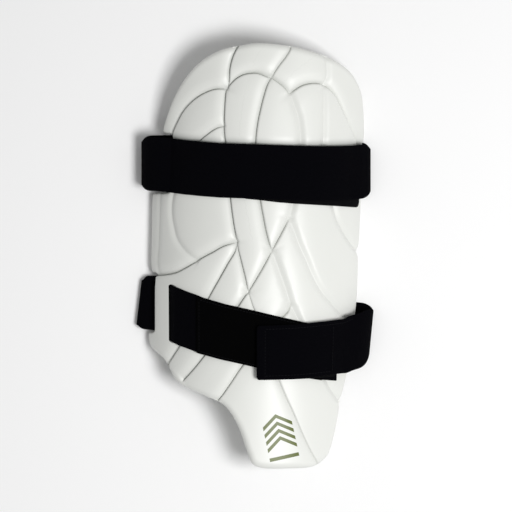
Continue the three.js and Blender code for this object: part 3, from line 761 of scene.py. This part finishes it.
def pressed_and_shaded(plan):
    """How much each place is pressed in along the upper strap's top edge, from 0 to 1. The same share
    sets the painted shadow along that edge.
    """
    seats = np.array([row[:2] for row in UPPER_STRAP if row[2] == "on"]) * (PAD_WIDTH, PAD_LENGTH)
    edge = np.interp(plan[:, 0], seats[:, 0], seats[:, 1]) + HALF_STRAP
    return (1 - np.clip(np.abs(plan[:, 1] - edge) / PRESS_REACH, 0, 1)) ** 2


def ring_faces(first, second):
    """Faces between two rings of vertices, given by their numbers."""
    return list(zip(first, second, np.roll(second, -1), np.roll(first, -1)))


def pad_mesh():
    """The pad's vertices and faces, and the values that its material reads at each vertex."""
    front, front_faces, front_loop = triangulate(FRONT_STEP, True)
    back, back_faces, back_loop = triangulate(BACK_STEP, False)
    to_rim, drop = drops(front)
    depth, fields = relief(front)
    plan = roll(front)
    press_and_shadow = pressed_and_shaded(plan)
    depth += press_and_shadow * PRESS_DEPTH
    fade = RIM_SHARE + (1 - RIM_SHARE) * smooth(0, RIM_FADE, to_rim)
    sunk = np.minimum(drop, RIM_SINK) + depth * fade
    front_points = on_front(plan[:, 0], plan[:, 1], -np.maximum(drop, sunk))
    back_to_rim, back_drop = drops(back)
    back_plan = roll(back)
    back_points = on_front(back_plan[:, 0], back_plan[:, 1], back_drop - thickness_at(back_to_rim))
    vertices = [front_points, back_points]
    start = len(front_points)
    faces = front_faces + [tuple(start + i for i in reversed(face)) for face in back_faces]
    rows = [front_loop]
    count = len(front_loop)
    for k in range(WALL_ROWS):
        share = (k + 1) / (WALL_ROWS + 1)
        rows.append(np.arange(count) + sum(map(len, vertices)))
        vertices.append(front_points[front_loop] * (1 - share) + back_points[back_loop] * share)
    rows.append(back_loop + start)
    for upper, lower in zip(rows, rows[1:]):
        faces += ring_faces(upper, lower)
    vertices = np.vstack(vertices)
    values = {}
    for number, field in enumerate(fields):
        values[f"crease_{number}"] = np.tile(np.array(NO_CREASE, float), (len(vertices), 1))
        values[f"crease_{number}"][:start] = field
    values["plan"] = vertices * (1, 1, 0)
    values["plan"][:start] = np.column_stack([plan, np.ones(start)])
    # the press share, which the foam's material reads for the painted shadow along the strap's edge
    values["pressed_and_shaded"] = np.zeros((len(vertices), 3))
    values["pressed_and_shaded"][:start, 0] = press_and_shadow
    return vertices, faces, values


def placed(name, data):
    """A new object in the scene."""
    made = bpy.data.objects.new(name, data)
    bpy.context.scene.collection.objects.link(made)
    return made


def to_object(name, vertices, faces, material):
    mesh = bpy.data.meshes.new(name)
    mesh.from_pydata(((vertices + shift) * MM).tolist(), [], faces)
    mesh.validate()
    mesh.update()
    mesh.polygons.foreach_set("use_smooth", np.ones(len(mesh.polygons), bool))
    mesh.materials.append(material)
    return placed(name, mesh)


def same_places(piece, vertices):
    """For each of a piece's vertices the nearest of those given, and whether it is close by."""
    tree = KDTree(len(vertices))
    for index, place in enumerate((vertices + shift) * MM):
        tree.insert(place, index)
    tree.balance()
    _, nearest, far = zip(*(tree.find(vertex.co) for vertex in piece.data.vertices))
    return np.array(nearest), np.array(far) < CUT_REACH * MM


def give(piece, name, values):
    """A vector attribute on the vertices of a piece."""
    attribute = piece.data.attributes.new(name, "FLOAT_VECTOR", "POINT")
    attribute.data.foreach_set("vector", np.asarray(values, np.float32).ravel())


# Straps and tapes

def strap_places(rows, thickness):
    """A band's centre at each row, and for rows on the pad the plan point and height over the face."""
    points, seats = [], []
    for row in rows:
        y = row[1] * PAD_LENGTH
        if row[2] == "high":
            points.append([row[0] * PAD_WIDTH, y, max(thickness / 2, row[3] * ARCH_HEIGHT)])
            seats.append(None)
        elif row[2] == "bar":
            x = foot_at(LEFT_FOOT, row[1]) + LOWER_NOTCH_DEPTH + row[0] * BAR_WIDTH
            points.append(on_front(x, y, -row[3] * (BAR_THICKNESS + SIDE_GAP + thickness / 2)))
            seats.append(None)
        else:
            beneath = row[3] * (STRAP_THICKNESS + GAP) + row[4] * (TAPE_THICKNESS + GAP)
            seats.append(np.array([row[0] * PAD_WIDTH, y, GAP + beneath + thickness / 2]))
            points.append(on_front(seats[-1][0], seats[-1][1], seats[-1][2]))
    return np.array(points), seats


def strap_stations(rows, thickness, closed=False, leans=None):
    """Centre points of a band, with its width and normal at each, and each station's row. A lean
    turns the width at a row that is off the pad."""
    points, seats = strap_places(rows, thickness)
    centre = spline(points, STRAP_SAMPLES, closed)
    count = len(centre)
    facing = [None] * count
    for i in range(count):
        row, share = divmod(i, STRAP_SAMPLES)
        share /= STRAP_SAMPLES
        following = (row + 1) % len(rows)
        if seats[row] is not None and (share == 0 or seats[following] is not None):
            seat = seats[row] if share == 0 else seats[row] * (1 - share) + seats[following] * share
            centre[i] = on_front(seat[0], seat[1], seat[2])
            facing[i] = front_normal(np.array(seat[0]), np.array(seat[1]))
    centre[:, 2] = np.maximum(centre[:, 2], thickness / 2)

    def beyond(i):
        return i % count if closed else min(max(i, 0), count - 1)

    run = np.array([unit(centre[beyond(i + 1)] - centre[beyond(i - 1)]) for i in range(count)])
    width = np.tile([0.0, 1.0, 0.0], (count, 1))
    for i in range(count):
        if facing[i] is not None:
            width[i] = unit(width[i] - facing[i] * np.dot(width[i], facing[i]))
        elif leans and i // STRAP_SAMPLES in leans:
            width[i] = unit(width[i] + (leans[i // STRAP_SAMPLES], 0, 0))
    for _ in range(TWIST_PASSES):
        for i in range(count):
            if facing[i] is None:
                width[i] = unit(width[i] + width[beyond(i - 1)] + width[beyond(i + 1)])
    normal = np.cross(width, run)
    skew = 1 / np.linalg.norm(normal, axis=1)
    return centre, width * skew[:, None], unit(normal), np.arange(count) / STRAP_SAMPLES


def densely(stations, step, closed=False, rows=None):
    """The stations again in even steps, on smooth curves, with the length along them."""
    centre, width, normal, row = stations
    stack = np.hstack([centre, width, normal, row[:, None]])
    if rows:
        stack = stack[(row >= rows[0]) & (row <= rows[1])]
    even, stops, length = resampled(spline(stack, BAND_SAMPLES, closed), step, closed)
    return even[:, :3], even[:, 3:6], unit(even[:, 6:9]), stops, length


def band_profile(width, thickness):
    """A flat section with rounded edges: across from -1 to 1 and face from -1 to 1."""
    half, radius = width / 2, thickness / 2
    flat = half - radius
    top = [(x, radius) for x in np.linspace(flat, -flat, ACROSS_STEPS + 1)]
    angles = np.linspace(0, math.pi, 2 * ROUND_STEPS + 1)[1:-1]
    left = [(-flat - radius * math.sin(a), radius * math.cos(a)) for a in angles]
    bottom = [(x, -radius) for x in np.linspace(-flat, flat, ACROSS_STEPS + 1)]
    right = [(flat + radius * math.sin(a), -radius * math.cos(a)) for a in angles]
    return np.array(top + left + bottom + right)


def end_caps(last, count):
    """Faces that close both ends of a band: quads between its faces, and its two round edges."""
    corner = count // 2 - ACROSS_STEPS - 1
    under = [2 * ACROSS_STEPS + 1 + corner - j for j in range(ACROSS_STEPS + 1)]
    cap = [(j, j + 1, under[j + 1], under[j]) for j in range(ACROSS_STEPS)]
    cap.append(tuple(range(ACROSS_STEPS, ACROSS_STEPS + corner + 2)))
    cap.append(tuple(range(under[0], count)) + (0,))
    return cap + [tuple(last + j for j in reversed(face)) for face in cap]


def stitch(start, end, out):
    """One stitch: a short round thread from start to end, with both ends sunk in the cloth."""
    along = unit(end - start)
    side = np.cross(along, out)
    rings = [start - out * STITCH_RADIUS]
    for share, size in STITCH_RINGS:
        middle = start + (end - start) * share + out * STITCH_RADIUS * (size - STITCH_RINGS[0][1])
        for k in range(STITCH_SIDES):
            turn = 2 * math.pi * k / STITCH_SIDES
            rings.append(middle + (side * math.cos(turn) + out * math.sin(turn)) * STITCH_RADIUS * size)
    rings.append(end - out * STITCH_RADIUS)
    faces = []
    last = len(rings) - 1
    for k in range(STITCH_SIDES):
        after = (k + 1) % STITCH_SIDES
        faces.append((0, 1 + after, 1 + k))
        for ring in range(len(STITCH_RINGS) - 1):
            low = 1 + ring * STITCH_SIDES
            faces.append((low + k, low + after, low + STITCH_SIDES + after, low + STITCH_SIDES + k))
        faces.append((last, last - STITCH_SIDES + k, last - STITCH_SIDES + after))
    return rings, faces


def seam_stitches(centre, wide, normal, along, length, face, seams):
    """Stitches along seams of a band, at that distance from its middle face."""
    def place(back, across):
        stop = length - back
        at = [np.array([np.interp(stop, along, values[:, k]) for k in range(3)])
              for values in (centre, wide, normal)]
        return at[0] + at[1] * across + at[2] * face, unit(at[2])

    points, faces = [], []
    for start, end in seams:
        start, end = np.array(start), np.array(end)
        run = np.linalg.norm(end - start)
        for k in range(int(run // STITCH_PITCH)):
            near = (k * STITCH_PITCH + STITCH_START) / run
            far = near + STITCH_LENGTH / run
            first, out = place(*(start + (end - start) * near))
            second, _ = place(*(start + (end - start) * far))
            made, sides = stitch(first, second, out)
            faces += [tuple(len(points) + j for j in side) for side in sides]
            points += made
    return np.array(points), faces


def band(name, stations, width, thickness, material, closed=False, step=BAND_STEP, rows=None,
         shape=None, seams=None, seam_face=None):
    """A strap along its stations. shape may change each section's across and face distances."""
    centre, wide, normal, along, length = densely(stations, step, closed, rows)
    profile = band_profile(width, thickness)
    sections = np.tile(profile, (len(centre), 1, 1))
    if shape:
        sections = shape(sections, along, length, centre)
    points = (centre[:, None] + wide[:, None] * sections[:, :, :1]
              + normal[:, None] * sections[:, :, 1:]).reshape(-1, 3)
    points[:, 2] = np.maximum(points[:, 2], 0)
    count = len(profile)
    rings = np.arange(len(points)).reshape(-1, count)
    faces = []
    for near, far in zip(rings, np.roll(rings, -1, axis=0) if closed else rings[1:]):
        faces += ring_faces(near, far)
    if not closed:
        faces += end_caps(len(points) - count, count)
    cloth = np.zeros((len(centre), count, 3))
    cloth[:, :, 0] = along[:, None]
    cloth[:, :, 1] = sections[:, :, 0]
    cloth[:, :, 2] = np.sign(sections[:, :, 1])
    cloth = cloth.reshape(-1, 3)
    woven = len(faces)
    if seams:
        sewn, sides = seam_stitches(centre, wide, normal, along, length, seam_face, seams)
        faces += [tuple(len(points) + j for j in side) for side in sides]
        points = np.vstack([points, sewn])
        cloth = np.vstack([cloth, sewn])
    piece = to_object(name, points, faces, material)
    if seams:
        piece.data.materials.append(thread)
        piece.data.polygons.foreach_set("material_index", (np.arange(len(faces)) >= woven).astype(np.int32))
    give(piece, "cloth", cloth)
    return piece, length


# Materials

def new_material(name):
    material = bpy.data.materials.new(name)
    material.use_nodes = True
    tree = material.node_tree
    tree.nodes.clear()
    output = tree.nodes.new("ShaderNodeOutputMaterial")
    shader = tree.nodes.new("ShaderNodeBsdfPrincipled")
    tree.links.new(shader.outputs[0], output.inputs[0])
    return material, tree, shader


def add(tree, kind, inputs=(), **settings):
    """A node with its settings. An input is a value or another node's output, by name or number."""
    node = tree.nodes.new(kind)
    for key, value in settings.items():
        setattr(node, key, value)
    for key, value in dict(inputs).items():
        if isinstance(value, bpy.types.NodeSocket):
            tree.links.new(value, node.inputs[key])
        else:
            node.inputs[key].default_value = value
    return node


def math_node(tree, operation, *values):
    return add(tree, "ShaderNodeMath", enumerate(values), operation=operation).outputs[0]


def times(tree, first, second):
    return math_node(tree, "MULTIPLY", first, second)


def greatest(tree, values):
    top = values[0]
    for value in values[1:]:
        top = math_node(tree, "MAXIMUM", top, value)
    return top


def attribute(tree, name):
    return add(tree, "ShaderNodeAttribute", attribute_name=name).outputs["Vector"]


def parts_of(tree, vector):
    return add(tree, "ShaderNodeSeparateXYZ", {0: vector}).outputs


def falling(tree, value, reach, top):
    """From top down to 0 while the value goes over its reach."""
    return add(tree, "ShaderNodeMapRange", {
        "Value": value, "From Min": reach[0], "From Max": reach[1], "To Min": top, "To Max": 0,
    }, interpolation_type="SMOOTHSTEP").outputs[0]


def noise(tree, vector, scale, detail):
    node = add(tree, "ShaderNodeTexNoise", {"Vector": vector, "Scale": scale, "Detail": detail})
    return node.outputs["Fac"]


def mixed(tree, share, first, second):
    return add(tree, "ShaderNodeMix", {0: share, 6: first, 7: second}, data_type="RGBA").outputs[2]


def bumped(tree, shader, height, strength, distance):
    bump = add(tree, "ShaderNodeBump", {"Height": height, "Strength": strength, "Distance": distance})
    tree.links.new(bump.outputs[0], shader.inputs["Normal"])


def printed_mark(tree):
    """A plain mark of stacked chevrons over a bar on the tongue, 1 where its ink lies."""
    middle = from_photo([MARK_MIDDLE])[0]
    plan = attribute(tree, "plan")
    turned_plan = add(tree, "ShaderNodeMapping", {
        "Vector": plan, "Location": (middle[0], middle[1], 0), "Rotation": (0, 0, math.radians(MARK_TURN)),
    }, vector_type="TEXTURE")
    x, y, _ = parts_of(tree, turned_plan.outputs[0])
    side = math_node(tree, "ABSOLUTE", x)
    rise = math_node(tree, "MULTIPLY_ADD", side, CHEVRON_SLOPE, y)
    phase = math_node(tree, "FRACT", math_node(tree, "DIVIDE", rise, CHEVRON_PITCH))
    from_middle = math_node(tree, "ABSOLUTE", math_node(tree, "SUBTRACT", phase, 0.5))
    stripe = math_node(tree, "LESS_THAN", from_middle, CHEVRON_HALF)
    high = math_node(tree, "LESS_THAN", rise, CHEVRON_PITCH * CHEVRONS)
    low = math_node(tree, "GREATER_THAN", rise, 0)
    narrow = math_node(tree, "LESS_THAN", side, MARK_WIDTH / 2)
    stack = times(tree, high, low)
    chevrons = times(tree, times(tree, stripe, narrow), stack)
    down = math_node(tree, "ABSOLUTE", math_node(tree, "ADD", y, MARK_BAR_DROP))
    bar = times(tree, math_node(tree, "LESS_THAN", down, MARK_BAR_HEIGHT / 2), narrow)
    on_face = parts_of(tree, plan)[2]
    return times(tree, math_node(tree, "MAXIMUM", chevrons, bar), on_face)


def foam_material():
    material, tree, shader = new_material("foam_satin")
    shader.inputs["Roughness"].default_value = 0.43
    shader.inputs["IOR"].default_value = 1.47
    shader.inputs["Coat Weight"].default_value = 0.08
    shader.inputs["Coat Roughness"].default_value = 0.25
    # Painted shade: fine dark lines in the creases and greyer edges that roll into them, and a painted
    # shadow on the foam pressed in along the upper strap's top edge
    lines = []
    edges = []
    for number in range(CREASE_SETS):
        signed, weight, line_shade = parts_of(tree, attribute(tree, f"crease_{number}"))
        strength = times(tree, weight, line_shade)
        # painted shade of the thin dark line in the crease
        line = falling(tree, math_node(tree, "ABSOLUTE", signed), LINE_REACH, 1)
        lines.append(times(tree, line, strength))
        # painted shade on the edge that rolls into the crease, fading faster on its short side
        short_side = times(tree, signed, -SHORT_SIDE_FALL)
        edge = falling(tree, math_node(tree, "MAXIMUM", signed, short_side), EDGE_REACH, EDGE_SHADE_TINT)
        edges.append(times(tree, edge, strength))
    # the strongest painted line shade of all sets
    line = times(tree, greatest(tree, lines), LINE_SHADE_TINT)
    # painted shadow along the upper strap's pressed top edge
    press_and_shadow = times(tree, parts_of(tree, attribute(tree, "pressed_and_shaded"))[0], PRESS_SHADOW_TINT)
    shade = greatest(tree, [line, press_and_shadow] + edges)
    place = add(tree, "ShaderNodeTexCoord").outputs["Object"]
    bare = mixed(tree, noise(tree, place, 14, 3), FOAM_DULL, FOAM_WHITE)
    # the foam's colour darkened towards grey where shade is painted
    shaded_foam = mixed(tree, shade, bare, CREASE_SHADE_GREY)
    colour = mixed(tree, printed_mark(tree), shaded_foam, MARK_GREEN)
    tree.links.new(colour, shader.inputs["Base Color"])
    bumped(tree, shader, noise(tree, place, 900, 4), 0.12, 0.0002)
    return material


def woven_material(name, dark, light, rib, strength, roughness):
    """A knitted or woven band with ribs across it and fine rows along it."""
    material, tree, shader = new_material(name)
    shader.inputs["Roughness"].default_value = roughness
    shader.inputs["Specular IOR Level"].default_value = 0.022
    cloth = attribute(tree, "cloth")
    length, width, _ = parts_of(tree, cloth)
    across = math_node(tree, "SINE", times(tree, width, 2 * math.pi / rib))
    rows = times(tree, length, 2 * math.pi / (rib * 0.8))
    along = math_node(tree, "SINE", math_node(tree, "MULTIPLY_ADD", across, 1.2, rows))
    weave = math_node(tree, "MULTIPLY_ADD", across, 0.5, along)
    share = math_node(tree, "MULTIPLY_ADD", weave, 0.2, noise(tree, cloth, 1.3, 3))
    tree.links.new(mixed(tree, share, dark, light), shader.inputs["Base Color"])
    bumped(tree, shader, weave, strength, 0.0003)
    return material


foam = foam_material()
elastic = woven_material("elastic_knit", (0.0006, 0.0006, 0.001, 1), (0.0025, 0.0024, 0.004, 1),
                         rib=1.1, strength=0.5, roughness=0.85)
loop_pile = woven_material("loop_pile", (0.0006, 0.0006, 0.0007, 1), (0.0022, 0.0022, 0.0024, 1),
                           rib=0.8, strength=0.8, roughness=0.97)
hook_weave = woven_material("hook_weave", (0.0018, 0.0018, 0.002, 1), (0.007, 0.007, 0.008, 1),
                            rib=1.5, strength=0.8, roughness=0.7)
thread = woven_material("thread", (0.006, 0.006, 0.007, 1), (0.016, 0.016, 0.019, 1),
                        rib=0.5, strength=0.6, roughness=0.6)


# The pieces

upper_stations = strap_stations(UPPER_STRAP, STRAP_THICKNESS, closed=True)
lower_stations = strap_stations(LOWER_STRAP, STRAP_THICKNESS, leans=LOWER_LEANS)


def make_pad():
    """The pad, with the lower strap's channel cut through it."""
    vertices, faces, values = pad_mesh()
    pad = to_object("pad_foam", vertices, faces, foam)
    cutter, _ = band("channel_cutter", lower_stations, STRAP_WIDTH + 2 * SIDE_GAP,
                     STRAP_THICKNESS + 2 * SIDE_GAP, foam, rows=(CHANNEL_ROW, LOWER_EXIT_ROW))
    bpy.context.view_layer.objects.active = pad
    cut = pad.modifiers.new("channel", "BOOLEAN")
    cut.operation = "DIFFERENCE"
    cut.object = cutter
    cut.solver = "EXACT"
    with bpy.context.temp_override(object=pad, active_object=pad, selected_objects=[pad]):
        bpy.ops.object.modifier_apply(modifier=cut.name)
    bpy.data.objects.remove(cutter)
    nearest, kept = same_places(pad, vertices)
    for name, given in values.items():
        elsewhere = NO_CREASE if name.startswith("crease") else 0
        give(pad, name, np.where(kept[:, None], given[nearest], elsewhere))
    pad.data.set_sharp_from_angle(angle=math.radians(50))
    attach(pad, "root")
    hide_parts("pad")


def dress(piece, node):
    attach(piece, "root")
    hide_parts(node)


def turned(sections, along, length, centre):
    """Elastic is a little narrower where it turns round the pad's sides, with the edges drawn in."""
    away = centre[:, 0] - PAD_WIDTH / 2
    reach = np.where(away > 0, away.max(), -away.min())
    cut = edge_drop(reach - np.abs(away), TURN_CORNER)
    cut = np.convolve(cut, np.ones(TURN_SMOOTH) / TURN_SMOOTH, "same")
    sections[:, :, 0] *= 1 - cut[:, None] / HALF_STRAP
    return sections


def hemmed(sections, along, length, centre):
    """The tab's end, folded under for its hem, with its corners a little rounded."""
    sections = turned(sections, along, length, centre)
    to_end = length - along
    fold = 1 - smooth(*HEM_FALL, to_end)
    sections[:, :, 1] += np.where(sections[:, :, 1] > 0, HEM_RISE * fold[:, None], 0)
    sections[:, :, 0] *= 1 - edge_drop(to_end, HEM_CORNER)[:, None] / HALF_STRAP
    return sections


def toothed(sections, along, length, centre):
    """The cut edge of a tape, with small teeth and a rounded end."""
    cut = np.abs(along / TOOTH_PITCH % 1 * 2 - 1) * TOOTH_DEPTH + edge_drop(length - along, TAPE_CORNER)
    sections[:, :, 0] *= 1 - cut[:, None] / HALF_STRAP
    return sections


def make_straps():
    piece, length = band("upper_strap_elastic", upper_stations, STRAP_WIDTH, STRAP_THICKNESS, elastic,
                         closed=True, shape=turned)
    dress(piece, "upper_strap")
    piece, length = band("lower_strap_elastic", lower_stations, STRAP_WIDTH, STRAP_THICKNESS, elastic,
                         shape=hemmed, seams=TAB_SEAMS, seam_face=STRAP_THICKNESS / 2 + STITCH_RADIUS * 0.5)
    dress(piece, "lower_strap")
    tapes = (
        ("upper_hook_tape", UPPER_HOOK_TAPE, hook_weave, "hook_tape", "pad_foam", toothed),
        ("lower_loop_tape", LOWER_LOOP_TAPE, loop_pile, "loop_tape", "lower_strap_elastic", None),
        ("lower_hook_tape", LOWER_HOOK_TAPE, hook_weave, "hook_tape", "lower_loop_tape_pile", toothed),
    )
    for node, rows, material, slot, under, shape in tapes:
        stations = strap_stations(rows, TAPE_THICKNESS)
        seams = LOOP_SEAMS if material == loop_pile else None
        # The loop tape runs the other way than the strap, with its inner side up
        piece, length = band(node + "_pile", stations, STRAP_WIDTH, TAPE_THICKNESS, material,
                             step=TAPE_STEP, shape=shape, seams=seams, seam_face=-TAPE_THICKNESS / 2)
        dress(piece, node)


make_pad()
make_straps()


# Floor, lights and camera

def make_stage():
    mesh = bpy.data.meshes.new("floor")
    corners = [(x * FLOOR_HALF, y * FLOOR_HALF, 0) for x, y in ((-1, -1), (1, -1), (1, 1), (-1, 1))]
    mesh.from_pydata(corners, [], [(0, 1, 2, 3)])
    floor = placed("floor", mesh)
    material, _, shader = new_material("floor_paint")
    shader.inputs["Base Color"].default_value = FLOOR_GREY
    shader.inputs["Roughness"].default_value = 0.9
    mesh.materials.append(material)


def make_lights():
    world = bpy.data.worlds.new("studio")
    world.use_nodes = True
    background = world.node_tree.nodes["Background"]
    background.inputs[0].default_value = (1, 1, 1, 1)
    background.inputs[1].default_value = WORLD_STRENGTH
    bpy.context.scene.world = world
    bpy.context.scene.view_settings.view_transform = "Standard"
    data = bpy.data.lights.new("key", "AREA")
    data.energy = KEY_POWER
    data.shape = "SQUARE"
    data.size = KEY_SIZE
    light = placed("key", data)
    light.location = KEY_PLACE
    light.rotation_euler = (-Vector(KEY_PLACE)).to_track_quat("-Z", "Y").to_euler()


def make_camera():
    data = bpy.data.cameras.new("camera")
    camera = placed("camera", data)
    camera.location = (0, 0, CAMERA_DISTANCE + cad_high.z * CAMERA_CROWN)
    data.sensor_width = SENSOR_WIDTH
    data.lens = SENSOR_WIDTH * CAMERA_DISTANCE / VIEW_WIDTH
    data.clip_end = CLIP_END
    bpy.context.scene.camera = camera


make_stage()
make_lights()
make_camera()
